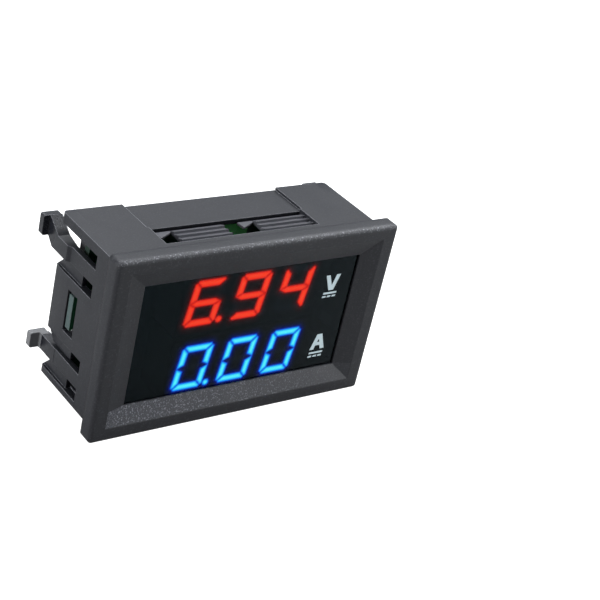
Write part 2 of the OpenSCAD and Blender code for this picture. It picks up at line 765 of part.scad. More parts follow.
// Small power regulator: body, a wide heat tab above and three leads below
regulator_x = -13.2;
regulator_z = board_h / 2 - 2.4;
module voltage_regulator() color("#202124")
    on_board(regulator_x, regulator_z) chip(regulator_w, regulator_h, regulator_t, 0);
module regulator_leads() color("#c9c9c4") on_board(regulator_x, regulator_z) {
    foil = 2 * lead_t;
    translate([-regulator_w * 0.19, -regulator_h / 2 - 0.8, 0]) cube([regulator_w * 0.38, 0.8, foil]);
    for (i = [-1, 0, 1]) translate([i * regulator_w / 3 - 0.22, regulator_h / 2, 0]) cube([0.44, 0.9, foil]);
}

// The diode lies in the corner of the board, on two flat leads
diode_x = -board_w / 2 + diode_inset / 2 + diode_w / 2;
diode_z = board_h / 2 - diode_inset - diode_h / 2;
module protection_diode() color("#1b1b1d")
    on_board(diode_x, diode_z) chip(diode_w, diode_h, diode_t, lead_t / 2);
module diode_leads() color("#c9c9c4") on_board(diode_x, diode_z)
    for (s = [-1, 1]) translate([s * diode_w * 0.35 - 0.6, -0.7, 0]) cube([1.2, 1.4, lead_t / 2]);

// Aluminium can on a square base with two cut corners
can_x = -board_w / 2 + can_inset + can_base_w / 2;
can_z = -board_h / 2 + can_inset + can_base_w / 2;
module input_capacitor_base() color("#26262a") on_board(can_x, can_z) {
    half = can_base_w / 2;
    cut = can_base_w / 5;
    linear_extrude(height = can_base_t) polygon([
        [-half, -half], [half - cut, -half], [half, -half + cut],
        [half, half - cut], [half - cut, half], [-half, half]
    ]);
}
module input_capacitor() color("#c4c6c9") on_board(can_x, can_z)
    translate([0, 0, can_base_t]) cylinder(d = can_d, h = can_h);

// Small parts: middle across the board, height, and 1 where they stand upright
CAPACITORS = [[-9.6, 9.4, 1], [-16.6, 5.6, 0], [-12.2, -9.6, 0], [-8.4, 0.6, 1], [9.2, 9.9, 0]];
RESISTORS = [
    [-19.4, 5.6, 0], [-13.9, 5.6, 1], [-13.9, -5.2, 0], [-16.6, -5.2, 0], [-8.4, -2.6, 1],
    [-14.9, -9.6, 1], [8.4, -2.0, 1], [8.4, 4.2, 1], [12.4, 9.9, 0], [15.2, 9.9, 0]
];
module chip_parts(places, w, l, t) {
    for (p = places) on_board(p[0], p[1]) rotate(90 * p[2]) translate([-w / 2, -l / 2, 0]) cube([w, l, t]);
}
module ceramic_capacitors() color("#b08a5a") chip_parts(CAPACITORS, 2.0, 1.25, 0.9);
module chip_resistors() color("#2b2b30") chip_parts(RESISTORS, 1.6, 0.8, 0.45);

housing();
display_window();
volt_display_shell();
volt_segments_lit();
volt_segments_dark();
volt_display_pins();
amp_display_shell();
amp_segments_lit();
amp_segments_dark();
amp_display_pins();
circuit_board();
current_header();
current_header_pins();
supply_header();
supply_header_pins();
current_shunt();
volt_trimmer_base();
volt_trimmer_rotor();
amp_trimmer_base();
amp_trimmer_rotor();
microcontroller();
microcontroller_leads();
amplifier();
amplifier_leads();
voltage_regulator();
regulator_leads();
protection_diode();
diode_leads();
input_capacitor();
input_capacitor_base();
ceramic_capacitors();
chip_resistors();
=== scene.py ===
import bpy
import numpy as np
from mathutils import Matrix, Vector
from mathutils.geometry import tessellate_polygon


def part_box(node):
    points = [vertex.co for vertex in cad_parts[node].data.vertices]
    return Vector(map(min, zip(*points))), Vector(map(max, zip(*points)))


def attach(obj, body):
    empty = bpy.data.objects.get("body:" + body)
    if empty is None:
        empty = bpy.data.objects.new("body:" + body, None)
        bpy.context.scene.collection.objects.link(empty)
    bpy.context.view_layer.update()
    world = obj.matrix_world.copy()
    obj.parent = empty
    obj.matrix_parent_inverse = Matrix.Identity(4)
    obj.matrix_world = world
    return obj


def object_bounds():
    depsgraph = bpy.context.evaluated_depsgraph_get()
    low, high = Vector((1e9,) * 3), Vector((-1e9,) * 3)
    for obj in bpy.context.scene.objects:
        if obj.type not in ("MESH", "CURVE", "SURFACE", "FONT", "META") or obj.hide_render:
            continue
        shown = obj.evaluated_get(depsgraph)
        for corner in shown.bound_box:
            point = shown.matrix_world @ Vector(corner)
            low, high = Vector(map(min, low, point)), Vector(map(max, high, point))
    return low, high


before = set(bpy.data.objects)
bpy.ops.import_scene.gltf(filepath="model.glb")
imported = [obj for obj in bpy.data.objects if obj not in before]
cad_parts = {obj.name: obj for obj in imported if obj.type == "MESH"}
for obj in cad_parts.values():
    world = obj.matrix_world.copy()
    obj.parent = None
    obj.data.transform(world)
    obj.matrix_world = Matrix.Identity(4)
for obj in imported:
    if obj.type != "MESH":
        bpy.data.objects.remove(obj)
solid_box = [list(corner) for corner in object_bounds()]
MM = 0.001

# ---------------------------------------------------------------- viewpoint
# A long lens above the left shoulder of the meter, about a hand's length away. It is rolled a
# little, so the meter seems to lean over to the right.
eye = Vector((-0.11809, -0.14212, 0.10496))
gaze = Vector((0.59095, 0.65369, -0.47273)).normalized()
crown = Vector((0.13342, 0.49873, 0.85643))
beam = gaze.cross(crown).normalized()
lens = bpy.data.cameras.new("viewpoint")
lens.sensor_width = 36.0
lens.lens = 87.97
lens.clip_start = 0.01
camera = bpy.data.objects.new("viewpoint", lens)
turned = Matrix((beam, beam.cross(gaze), -gaze)).transposed().to_4x4()
camera.matrix_world = Matrix.Translation(eye) @ turned
bpy.context.scene.collection.objects.link(camera)
bpy.context.scene.camera = camera
bpy.context.scene.view_settings.view_transform = "Standard"

# ---------------------------------------------------------------- table and studio light
# A plain light table under the lower edge of the bezel, in a pale room. It looks white, but sends
# only a little light up. Three broad panels hang overhead, one stands to the left, and a low one in
# front to the right skims the lower slope of the bezel. A small one behind picks out edges.
FLOOR_Z = solid_box[0][2]


def new_material(name, colour, roughness, **sockets):
    """A Principled material. Plain values go straight on the shader's own sockets."""
    material = bpy.data.materials.new(name)
    material.use_nodes = True
    shader = material.node_tree.nodes["Principled BSDF"]
    shader.inputs["Base Color"].default_value = (*colour, 1.0)
    shader.inputs["Roughness"].default_value = roughness
    for socket, value in sockets.items():
        shader.inputs[socket.replace("_", " ")].default_value = value
    return material, material.node_tree, shader


def surface(name, points, faces, smooth=False):
    """A mesh object at the origin from arrays of points, in metres, and of faces."""
    mesh = bpy.data.meshes.new(name)
    mesh.from_pydata(np.asarray(points, float).tolist(), [], [list(map(int, face)) for face in faces])
    mesh.polygons.foreach_set("use_smooth", [smooth] * len(mesh.polygons))
    mesh.update()
    made = bpy.data.objects.new(name, mesh)
    bpy.context.scene.collection.objects.link(made)
    return made


def link(tree, source, target):
    """A wire between two sockets of a node tree."""
    tree.links.new(source, target)


def feed(tree, value, target):
    """Gives a node's input a wire from an output socket, or else a plain value."""
    if hasattr(value, "is_output"):
        link(tree, value, target)
    else:
        target.default_value = value


def maths(tree, operation, first, second, clamp=False):
    """A Math node with sockets or plain numbers as its inputs; gives its output socket."""
    node = tree.nodes.new("ShaderNodeMath")
    node.operation = operation
    node.use_clamp = clamp
    feed(tree, first, node.inputs[0])
    feed(tree, second, node.inputs[1])
    return node.outputs[0]


def product(tree, *values):
    """The product of two or more sockets or plain numbers; gives its output socket."""
    result = values[0]
    for value in values[1:]:
        result = maths(tree, "MULTIPLY", result, value)
    return result


TABLE_HALF = 2.0
TABLE_TONE, TABLE_GLOW = 0.24, 0.17
corners = [(sx * TABLE_HALF, sy * TABLE_HALF, FLOOR_Z) for sx, sy in ((-1, -1), (1, -1), (1, 1), (-1, 1))]
table_top = surface("table_top", corners, [(0, 1, 2, 3)])
table_paint, tree, shader = new_material("table_paint", (0.3, 0.3, 0.3), 0.7, Specular_IOR_Level=0.2,
                                         Emission_Color=(1.0, 1.0, 1.0, 1.0))
# Seen straight on it glows white. Light that has come through the smoked pane finds it black.
path = tree.nodes.new("ShaderNodeLightPath")
direct = maths(tree, "SUBTRACT", 1.0, path.outputs["Is Transmission Ray"])
link(tree, product(tree, direct, TABLE_TONE), shader.inputs["Base Color"])
glow = maths(tree, "ADD", TABLE_GLOW, path.outputs["Is Camera Ray"])
link(tree, product(tree, direct, glow), shader.inputs["Emission Strength"])
table_top.data.materials.append(table_paint)

# A dark curtain hangs in front to the left: the room is dimmer the nearer a ray points to it.
ROOM_LIGHT, CURTAIN_SHADE = 0.54, 0.44
room = bpy.data.worlds.new("pale_room")
room.use_nodes = True
air = room.node_tree
sky = air.nodes["Background"]
sky.inputs["Color"].default_value = (0.88, 0.93, 1.0, 1.0)
toward = air.nodes.new("ShaderNodeVectorMath")
toward.operation = "DOT_PRODUCT"
toward.inputs[1].default_value = (-0.7, -0.7, 0.0)
link(air, air.nodes.new("ShaderNodeTexCoord").outputs["Generated"], toward.inputs[0])
curtain = maths(air, "POWER", maths(air, "MAXIMUM", toward.outputs["Value"], 0.0), 2.0)
link(air, maths(air, "SUBTRACT", ROOM_LIGHT, product(air, curtain, CURTAIN_SHADE)), sky.inputs["Strength"])
bpy.context.scene.world = room


def light_panel(name, place, width, height, watts):
    """A rectangle of cool white light at a place, turned so that it faces the meter."""
    panel = bpy.data.lights.new(name, "AREA")
    panel.shape = "RECTANGLE"
    panel.size = width
    panel.size_y = height
    panel.energy = watts
    panel.color = (0.97, 0.985, 1.0)
    holder = bpy.data.objects.new(name, panel)
    holder.location = place
    holder.rotation_euler = (-Vector(place)).to_track_quat("-Z", "Y").to_euler()
    bpy.context.scene.collection.objects.link(holder)


light_panel("panel_above", (0.0, 0.0, 0.5), 0.3, 0.3, 1.5)
light_panel("panel_above_back", (0.05, 0.3, 0.4), 0.3, 0.3, 1.35)
light_panel("panel_above_right", (0.35, 0.05, 0.35), 0.25, 0.25, 3.0)
light_panel("panel_left", (-0.5, 0.05, 0.1), 0.2, 0.2, 2.3)
light_panel("panel_front_right", (0.3, -0.4, 0.06), 0.2, 0.12, 0.9)
light_panel("panel_left_back", (-0.28, 0.4, 0.36), 0.08, 0.08, 0.3)

# ---------------------------------------------------------------- moulded case
# Bezel, case walls, louvres and snap arms are one injection moulding in black ABS. The tool was spark-eroded,
# so broad faces carry a fine grain. Its glints, the pale edges, the paler louvres and the pale lower tabs are
# painted light.


def socket(group, name, kind, way, value=None):
    """One named input or output of a node group."""
    made = group.interface.new_socket(name=name, in_out=way, socket_type=kind)
    if value is not None:
        made.default_value = value
    return made


def mixed(tree, factor, first, second):
    """A colour mix; gives its output socket. The two colours are sockets or triples."""
    node = tree.nodes.new("ShaderNodeMix")
    node.data_type = "RGBA"
    for place, value in ((0, factor), (6, first), (7, second)):
        feed(tree, (*value, 1.0) if isinstance(value, tuple) else value, node.inputs[place])
    return node.outputs[2]


def placed(tree):
    """Object coordinates, in metres, and the three of them apart."""
    coords = tree.nodes.new("ShaderNodeTexCoord").outputs["Object"]
    apart = tree.nodes.new("ShaderNodeSeparateXYZ")
    link(tree, coords, apart.inputs[0])
    return coords, apart.outputs[0], apart.outputs[1], apart.outputs[2]


def noise(tree, coords, scale, detail=2.0):
    """Soft noise between 0 and 1, with scale as its waves in each metre; gives its output socket."""
    node = tree.nodes.new("ShaderNodeTexNoise")
    node.inputs["Scale"].default_value = scale
    node.inputs["Detail"].default_value = detail
    link(tree, coords, node.inputs["Vector"])
    return node.outputs["Fac"]


def magnitude(tree, value):
    """A value without its sign; gives its output socket."""
    return maths(tree, "ABSOLUTE", value, 0.0)


def within(tree, value, low, high):
    """1 where a value lies between two limits, else 0; gives its output socket."""
    return product(tree, maths(tree, "GREATER_THAN", value, low), maths(tree, "LESS_THAN", value, high))


def ramp(tree, value, *stops):
    """A colour ramp with (position, colour) stops; gives its colour socket."""
    node = tree.nodes.new("ShaderNodeValToRGB")
    for _ in stops[2:]:
        node.color_ramp.elements.new(0.5)
    for element, (position, colour) in zip(node.color_ramp.elements, stops):
        element.position = position
        element.color = (*colour, 1.0) if isinstance(colour, tuple) else (colour, colour, colour, 1.0)
    link(tree, value, node.inputs["Fac"])
    return node.outputs["Color"]


def make_grain_group():
    """Spark-eroded grain. Height is fine noise plus clustered pits, Speck is 1 on the grain's peaks,
    and Cloud is noise in much wider patches."""
    group = bpy.data.node_groups.new("tool_grain", "ShaderNodeTree")
    socket(group, "Vector", "NodeSocketVector", "INPUT")
    socket(group, "Size", "NodeSocketFloat", "INPUT", 3000.0)
    socket(group, "Height", "NodeSocketFloat", "OUTPUT")
    socket(group, "Speck", "NodeSocketFloat", "OUTPUT")
    socket(group, "Cloud", "NodeSocketFloat", "OUTPUT")
    inward = group.nodes.new("NodeGroupInput")
    outward = group.nodes.new("NodeGroupOutput")
    fine = group.nodes.new("ShaderNodeTexNoise")
    fine.inputs["Detail"].default_value = 3.0
    link(group, inward.outputs["Vector"], fine.inputs["Vector"])
    link(group, inward.outputs["Size"], fine.inputs["Scale"])
    pits = group.nodes.new("ShaderNodeTexVoronoi")
    link(group, inward.outputs["Vector"], pits.inputs["Vector"])
    link(group, product(group, inward.outputs["Size"], 1.3), pits.inputs["Scale"])
    cloud = group.nodes.new("ShaderNodeTexNoise")
    cloud.inputs["Detail"].default_value = 2.0
    link(group, inward.outputs["Vector"], cloud.inputs["Vector"])
    link(group, product(group, inward.outputs["Size"], 0.06), cloud.inputs["Scale"])
    height = maths(group, "ADD", product(group, fine.outputs["Fac"], 0.7),
                   product(group, pits.outputs["Distance"], 0.5))
    link(group, height, outward.inputs["Height"])
    link(group, maths(group, "MULTIPLY", maths(group, "SUBTRACT", fine.outputs["Fac"], 0.55), 6.0, True),
         outward.inputs["Speck"])
    link(group, cloud.outputs["Fac"], outward.inputs["Cloud"])
    return group


def make_edge_group():
    """Rounded edges. Normal is the surface's normal softened over Radius; Edge grows from 0 to 1 there."""
    group = bpy.data.node_groups.new("soft_edges", "ShaderNodeTree")
    socket(group, "Radius", "NodeSocketFloat", "INPUT", 0.0001)
    socket(group, "Normal", "NodeSocketVector", "OUTPUT")
    socket(group, "Edge", "NodeSocketFloat", "OUTPUT")
    inward = group.nodes.new("NodeGroupInput")
    outward = group.nodes.new("NodeGroupOutput")
    bevel = group.nodes.new("ShaderNodeBevel")
    bevel.samples = 4
    link(group, inward.outputs["Radius"], bevel.inputs["Radius"])
    flat = group.nodes.new("ShaderNodeNewGeometry")
    likeness = group.nodes.new("ShaderNodeVectorMath")
    likeness.operation = "DOT_PRODUCT"
    link(group, bevel.outputs["Normal"], likeness.inputs[0])
    link(group, flat.outputs["Normal"], likeness.inputs[1])
    link(group, bevel.outputs["Normal"], outward.inputs["Normal"])
    link(group, maths(group, "MULTIPLY", maths(group, "SUBTRACT", 1.0, likeness.outputs["Value"]), 6.0, True),
         outward.inputs["Edge"])
    return group


grain_group = make_grain_group()
edge_group = make_edge_group()


def place_group(tree, group, **values):
    """A node that uses a group, with sockets or plain values for the group's inputs."""
    node = tree.nodes.new("ShaderNodeGroup")
    node.node_tree = group
    for name, value in values.items():
        feed(tree, value, node.inputs[name])
    return node


def bump(tree, height, distance, strength=1.0, normal=None):
    """Relief from a height, as deep as the distance in metres; gives the bent normal."""
    node = tree.nodes.new("ShaderNodeBump")
    node.inputs["Strength"].default_value = strength
    node.inputs["Distance"].default_value = distance
    link(tree, height, node.inputs["Height"])
    if normal is not None:
        link(tree, normal, node.inputs["Normal"])
    return node.outputs["Normal"]


def clothe(node_names, material):
    """Gives CAD nodes a material in place of their plain one."""
    for name in node_names:
        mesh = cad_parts[name].data
        mesh.materials.clear()
        mesh.materials.append(material)


def mottled(name, roughness, scale, dark, pale, detail=2.0, **sockets):
    """A Principled material whose colour wanders between two tones in soft patches. Gives the
    material, its tree, its shader and its Object coordinates."""
    plain = tuple((a + b) / 2 for a, b in zip(dark, pale))
    material, tree, shader = new_material(name, plain, roughness, **sockets)
    coords = placed(tree)[0]
    link(tree, mixed(tree, noise(tree, coords, scale, detail), dark, pale), shader.inputs["Base Color"])
    return material, tree, shader, coords


RIM_W, RIM_ROUND, EDGE_ROUND = 1.9 * MM, 0.9 * MM, 0.16 * MM
SLOPE_TOP_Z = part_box("display_window")[0].z + 0.9 * MM
SLOPE_FRONT_Y, SLOPE_BACK_Y, SLOPE_HALF = -2.46 * MM, -1.3 * MM, 22.5 * MM
TOP_EDGE_HIGHLIGHT_Z = 13.9 * MM
# How fast the rim's rounding, the coarse grain with its painted glints, and the polish grow, per metre.
RIM_RISE, COARSE_AND_GLINT_RISE, POLISH_RISE = 900.0, -26.0, 200.0
LOUVRE_HALF, LOUVRE_Z, LOUVRE_FRONT_Y, LOUVRE_BACK_Y = 13.0 * MM, 11.8 * MM, 3.15 * MM, 7.75 * MM
ARM_X, ARM_POLISH_Y, TAB_Y = 21.0 * MM, 11.0 * MM, 15.6 * MM

black_abs, tree, shader = new_material("black_abs", (0.01, 0.0105, 0.0125), 0.48, IOR=1.4)
coords, x, y, z = placed(tree)
aside = magnitude(tree, x)
grain = place_group(tree, grain_group, Vector=coords, Size=4200.0)
# The outer edge of the bezel is rounded much more than the other edges.
rim_x = maths(tree, "SUBTRACT", aside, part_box("housing")[1].x - RIM_W)
rim_z = maths(tree, "SUBTRACT", magnitude(tree, z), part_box("housing")[1].z - RIM_W)
rim = maths(tree, "MULTIPLY", maths(tree, "MAXIMUM", rim_x, rim_z), RIM_RISE, True)
rim = product(tree, rim, maths(tree, "LESS_THAN", y, 0.0), RIM_ROUND)
edges = place_group(tree, edge_group, Radius=maths(tree, "ADD", EDGE_ROUND, rim))
# The lower slope of the bezel is eroded more coarsely than the rest. The grain's peaks are painted pale as
# painted glints, faintly all over the case and strongly on the lower slope, and the slope is also painted
# paler as painted light from above. The coarse grain and the glints fade from the left end to the right,
# which stands in for light falling from the left.
slope = product(tree, within(tree, y, SLOPE_FRONT_Y, SLOPE_BACK_Y),
                maths(tree, "LESS_THAN", z, SLOPE_TOP_Z), maths(tree, "LESS_THAN", aside, SLOPE_HALF))
coarse_relief_and_glint = product(tree, slope, maths(tree, "ADD", product(tree, x, COARSE_AND_GLINT_RISE), 0.55, True))
painted_glint = product(tree, grain.outputs["Speck"], maths(tree, "ADD", 0.12, product(tree, coarse_relief_and_glint, 1.6)))
painted_slope_light = maths(tree, "ADD", product(tree, slope, 0.07), product(tree, coarse_relief_and_glint, 0.16))
painted_glint = maths(tree, "ADD", painted_glint, painted_slope_light, True)
tone = mixed(tree, painted_glint, (0.0085, 0.0092, 0.0125), (0.15, 0.154, 0.175))
# Painted highlights: edges of the case that face up, and the bezel's top front edge, are painted pale grey
# where light would catch them. The top front edge's highlight is speckled by the grain's peaks.
bent = tree.nodes.new("ShaderNodeSeparateXYZ")
link(tree, edges.outputs["Normal"], bent.inputs[0])
upward = maths(tree, "MULTIPLY", bent.outputs[2], 1.4, True)
forward = maths(tree, "MULTIPLY", bent.outputs[1], -2.2, True)
painted_edge_highlight = product(tree, edges.outputs["Edge"], upward, maths(tree, "GREATER_THAN", y, 0.0))
painted_top_edge_highlight = product(tree, forward, upward, maths(tree, "GREATER_THAN", z, TOP_EDGE_HIGHLIGHT_Z),
               maths(tree, "ADD", 0.15, grain.outputs["Speck"]))
tone = mixed(tree, maths(tree, "MAXIMUM", painted_edge_highlight, painted_top_edge_highlight, True), tone, (0.22, 0.223, 0.245))
# The louvres' ridges are painted paler, as light as the top face: painted light that takes away the shade of
# the vent's recess.
painted_louvre_light = product(tree, within(tree, y, LOUVRE_FRONT_Y, LOUVRE_BACK_Y),
                  maths(tree, "GREATER_THAN", z, LOUVRE_Z), maths(tree, "LESS_THAN", aside, LOUVRE_HALF))
tone = mixed(tree, painted_louvre_light, tone, (0.05, 0.051, 0.06))
# The lower tabs are painted pale: a painted highlight on faces that would catch light from the front left.
# All four arms are polished towards their ends.
painted_tab_light = product(tree, maths(tree, "GREATER_THAN", y, TAB_Y), maths(tree, "LESS_THAN", z, 0.0))
link(tree, mixed(tree, painted_tab_light, tone, (0.12, 0.121, 0.126)), shader.inputs["Base Color"])
polished = maths(tree, "MULTIPLY", maths(tree, "SUBTRACT", y, ARM_POLISH_Y), POLISH_RISE, True)
polished = product(tree, polished, maths(tree, "GREATER_THAN", aside, ARM_X))
rough = maths(tree, "ADD", 0.42, product(tree, grain.outputs["Cloud"], 0.14))
link(tree, maths(tree, "SUBTRACT", rough, product(tree, polished, 0.24)), shader.inputs["Roughness"])
fine = bump(tree, grain.outputs["Height"], 0.012 * MM, 0.5, edges.outputs["Normal"])
strong = product(tree, grain.outputs["Height"], coarse_relief_and_glint)
link(tree, bump(tree, strong, 0.09 * MM, 1.0, fine), shader.inputs["Normal"])
clothe(["housing"], black_abs)

# ---------------------------------------------------------------- window pane
# A smoked sheet of acrylic, laser-cut and dropped into the rebate behind the bezel. It is slightly
# green and so dark that the unlit parts behind it hardly show. A coat on it keeps glare down, which
# the low tint of its mirrored light stands for.
smoked_acrylic = mottled("smoked_acrylic", 0.02, 90.0, (0.014, 0.02, 0.023), (0.016, 0.022, 0.025),
                         IOR=1.38, Transmission_Weight=1.0, Specular_Tint=(0.0, 0.15, 0.22, 1.0))[0]
clothe(["display_window"], smoked_acrylic)

# ---------------------------------------------------------------- signs on the window
# V over A, each above the sign for direct current, a bar over three dashes. They are screen-printed
# in pale ink on the front of the pane, 0.02 mm thick.
INK_BACK_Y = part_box("display_window")[0].y
INK_T = 0.02 * MM


def flat_prism(outlines, low_y, high_y):
    """Points and faces of outlines in X and Z, in mm, given thickness along Y. The first outline is
    the outside and the others are holes; walls join the front and back copies of each."""
    rings = [[Vector((px * MM, pz * MM, 0.0)) for px, pz in ring] for ring in outlines]
    flat = [point for ring in rings for point in ring]
    count = len(flat)
    points = [(p.x, low_y, p.y) for p in flat] + [(p.x, high_y, p.y) for p in flat]
    faces = []
    for a, b, c in tessellate_polygon(rings):
        turn = (flat[b] - flat[a]).cross(flat[c] - flat[a]).z
        front = (a, b, c) if turn > 0 else (c, b, a)
        faces += [front, tuple(k + count for k in reversed(front))]
    start = 0
    for index, ring in enumerate(rings):
        n = len(ring)
        area = sum(ring[k - 1].x * ring[k].y - ring[k].x * ring[k - 1].y for k in range(n))
        outward = (area > 0) == (index == 0)
        for k in range(n):
            a, b = start + k, start + (k + 1) % n
            wall = (a, a + count, b + count, b)
            faces.append(wall if outward else tuple(reversed(wall)))
        start += n
    return points, faces


def joined(parts):
    """Several (points, faces) lists as one."""
    points, faces = [], []
    for some_points, some_faces in parts:
        base = len(points)
        points += list(some_points)
        faces += [tuple(k + base for k in face) for face in some_faces]
    return points, faces


def rectangle(x0, z0, x1, z1, lean=0.0):
    """One outline with four corners. Lean moves its low side aside, as a share of its height."""
    return [[(x0 + lean * (z0 - z1), z0), (x1 + lean * (z0 - z1), z0), (x1, z1), (x0, z1)]]


def direct_current_sign(left, right, bar_z, dash_z):
    """A bar 0.32 mm high over three dashes 0.28 mm high that share its width."""
    parts = [rectangle(left, bar_z - 0.16, right, bar_z + 0.16, 0.15)]
    step = (right - left + 0.24) / 3
    for k in range(3):
        parts.append(rectangle(left + k * step - 0.05, dash_z - 0.14, left + (k + 1) * step - 0.3,
                               dash_z + 0.14, 0.3))
    return parts


volt_sign = [[(13.35, 6.58), (14.08, 6.58), (14.78, 4.78), (15.33, 6.58), (16.06, 6.58), (15.24, 3.96),
              (14.35, 3.96)]]
amp_sign = [[(14.43, -3.82), (15.36, -3.82), (16.3, -6.52), (15.54, -6.52), (15.32, -5.82), (14.46, -5.82),
             (14.3, -6.52), (13.54, -6.52)], [(14.93, -4.67), (14.7, -5.24), (15.14, -5.24)]]
signs = [volt_sign, amp_sign]
signs += direct_current_sign(13.56, 16.02, 3.46, 2.88)
signs += direct_current_sign(13.64, 16.2, -7.12, -7.74)
ink = surface("window_signs", *joined([flat_prism(sign, INK_BACK_Y - INK_T, INK_BACK_Y) for sign in signs]))
pale_ink = mottled("pale_ink", 0.55, 2500.0, (0.5, 0.62, 0.65), (0.6, 0.71, 0.74))[0]
ink.data.materials.append(pale_ink)
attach(ink, "meter")

# ---------------------------------------------------------------- LED modules
# Two potted blocks of three figures. Each bar is a well full of milky resin over a small chip, and
# the face round the wells is printed matt grey-black.
module_face = mottled("module_face", 0.6, 700.0, (0.017, 0.018, 0.022), (0.028, 0.029, 0.035))[0]
clothe(["volt_display_shell", "amp_display_shell"], module_face)

# The unlit bars glow faintly: painted light that stands in for light reaching them through the pane and from
# the lit bars beside them.
resin_with_painted_glow = mottled("unlit_resin_painted_glow", 0.4, 1500.0, (0.05, 0.055, 0.065), (0.075, 0.08, 0.09),
                      Emission_Color=(0.5, 0.55, 0.7, 1.0), Emission_Strength=0.25)[0]
clothe(["volt_segments_dark", "amp_segments_dark"], resin_with_painted_glow)

LIT_STRENGTH = 40.0


def glowing(name, dim, bright):
    """Resin with a lit chip behind it; the light is a little uneven."""
    material, tree, shader = new_material(name, dim, 0.4, Emission_Strength=LIT_STRENGTH)
    coords = placed(tree)[0]
    link(tree, mixed(tree, noise(tree, coords, 900.0), dim, bright), shader.inputs["Emission Color"])
    return material


clothe(["volt_segments_lit"], glowing("red_resin", (0.85, 0.02, 0.004), (0.95, 0.03, 0.008)))
clothe(["amp_segments_lit"], glowing("blue_resin", (0.08, 0.5, 0.9), (0.12, 0.66, 0.95)))

# ---------------------------------------------------------------- painted halos
# Painted light: a thin sheet lies on the face of each module and glows round the lit bars, so each lit bar
# has a soft edge and a halo. The glow stands in for light spilling from the wells onto the face and for
# glare. It is worked out from the distance to the lit bars.
DIGIT_W, DIGIT_H, BAR_T, BAR_GAP = 4.25, 6.35, 1.05, 0.14
CORNER_CUT, LEAN, DIGIT_PITCH = 0.55, np.tan(np.radians(8.0)), 7.8
POINT_X, POINT_R = 3.32, 0.5
HAZE, HAZE_REACH = 0.13, 1.6
PANE_BACK_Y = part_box("display_window")[1].y
HALO_Y0, HALO_Y1 = PANE_BACK_Y + 0.03 * MM, PANE_BACK_Y + 0.07 * MM
HALO_INSET_X, HALO_INSET_Z, HALO_STEP = 0.1, 0.05, 0.12
# Lit bars of each figure, counted clockwise from the top; the middle one is 6.
FIGURES = {0: (0, 1, 2, 3, 4, 5), 4: (1, 2, 5, 6), 6: (0, 2, 3, 4, 5, 6), 9: (0, 1, 2, 3, 5, 6)}


def box_mm(name):
    """Lowest and highest corner of a CAD node, in mm."""
    low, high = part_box(name)
    return low / MM, high / MM


def centre(low, high):
    """The middle of a box in X and in Z."""
    return (low[0] + high[0]) / 2, (low[2] + high[2]) / 2


def bar_outline(index):
    """Corners of one of the seven bars in X and Z, in mm, before the slant: the outer six are mitred
    at the corners and cut to a point at the middle, and the middle one has six sides."""
    w, h, c, e, k = DIGIT_W / 2, DIGIT_H / 2, BAR_T / 2, BAR_GAP * 0.7, CORNER_CUT
    if index == 6:
        return [(-w - c + 2 * e, 0), (-w + c + e / 2, c - e / 2), (w - c - e / 2, c - e / 2),
                (w + c - 2 * e, 0), (w - c - e / 2, -c + e / 2), (-w + c + e / 2, -c + e / 2)]
    if index % 3 == 0:
        s = 1 if index == 0 else -1
        return [(-w - c + k, s * (h + c)), (w + c - k, s * (h + c)),
                (w + c - k / 2 - e, s * (h + c - k / 2)), (w - c - e, s * (h - c)),
                (-w + c + e, s * (h - c)), (-w - c + k / 2 + e, s * (h + c - k / 2))]
    sx = 1 if index < 3 else -1
    sz = 1 if index in (1, 5) else -1
    return [(sx * (w + c - k / 2), sz * (h + c - k / 2 - e)), (sx * (w + c), sz * (h + c - k)),
            (sx * (w + c), sz * e / 2), (sx * (w - c), sz * (c + e / 2)), (sx * (w - c), sz * (h - c - e))]


def signed_distance(px, pz, outline):
    """Distance in mm from each grid point to a polygon's edge, negative inside: the least distance
    to any side, with the sign from how often a ray to the right crosses the sides."""
    least = np.full(px.shape, 1e9)
    inside = np.zeros(px.shape, bool)
    for (ax, az), (bx, bz) in zip(outline, outline[1:] + outline[:1]):
        ex, ez = bx - ax, bz - az
        share = np.clip(((px - ax) * ex + (pz - az) * ez) / (ex * ex + ez * ez), 0, 1)
        least = np.minimum(least, np.hypot(px - ax - share * ex, pz - az - share * ez))
        crosses = (az > pz) != (bz > pz)
        at = ax + (pz - az) / np.where(ez == 0, 1e-9, ez) * ex
        inside ^= crosses & (px < at)
    return np.where(inside, -least, least)


